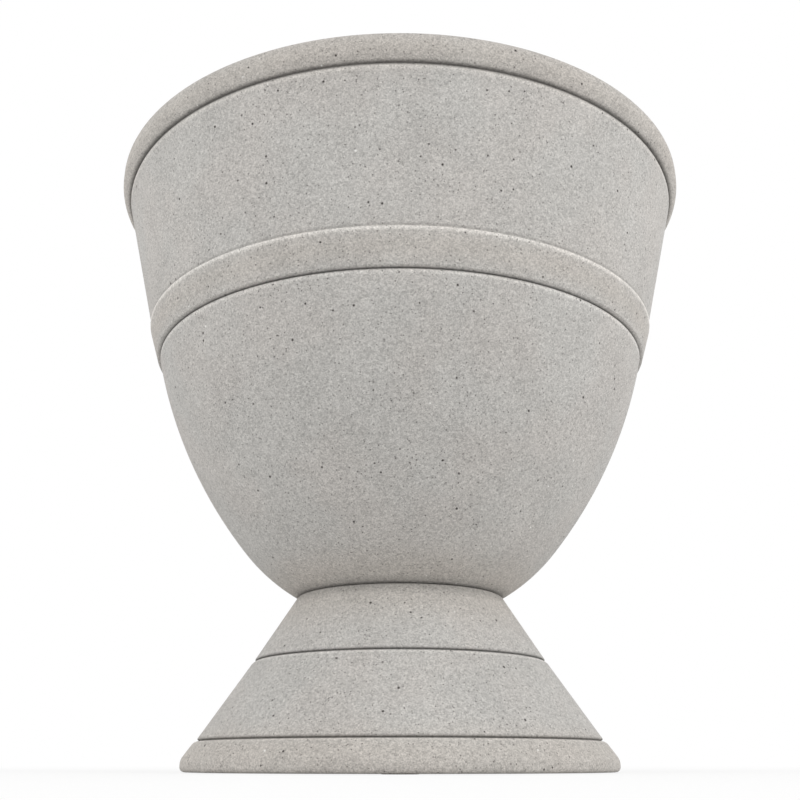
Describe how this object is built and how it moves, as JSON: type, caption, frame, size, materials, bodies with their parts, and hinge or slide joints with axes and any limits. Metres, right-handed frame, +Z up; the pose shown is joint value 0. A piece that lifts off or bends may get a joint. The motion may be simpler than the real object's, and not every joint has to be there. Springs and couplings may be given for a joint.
{
  "type": "urn planter",
  "caption": "Round cast concrete urn planter: a wide bowl with a rim lip and a raised band, on a short flared foot with moulded reveal lines.",
  "frame": {"origin": "middle of the ground under the urn, level with the underside of the foot pads", "axes": "+Z up along the urn's axis; the urn is round, so +X and +Y are free, and -Y faces the camera"},
  "size_m": [0.406, 0.406, 0.4],
  "materials": {
    "concrete": "matte",
    "rubber": "matte",
    "steel": "satin",
    "brass": "satin"
  },
  "bodies": {
    "urn": {"bowl": "concrete", "pedestal": "concrete", "seat_gasket": "rubber", "tie_bolts": "steel", "seal_washers": "rubber", "plate_washers": "steel", "tie_nuts": "steel", "drain_sleeve": "brass", "drain_washer": "rubber", "drain_nut": "brass", "foot_pads": "rubber"},
    "plug": {"drain_plug": "rubber"}
  },
  "joints": [
    {"name": "plug_lift", "type": "slide", "parent": "urn", "child": "plug", "axis": [0, 0, 1], "range_m": [0, 0.05]}
  ]
}
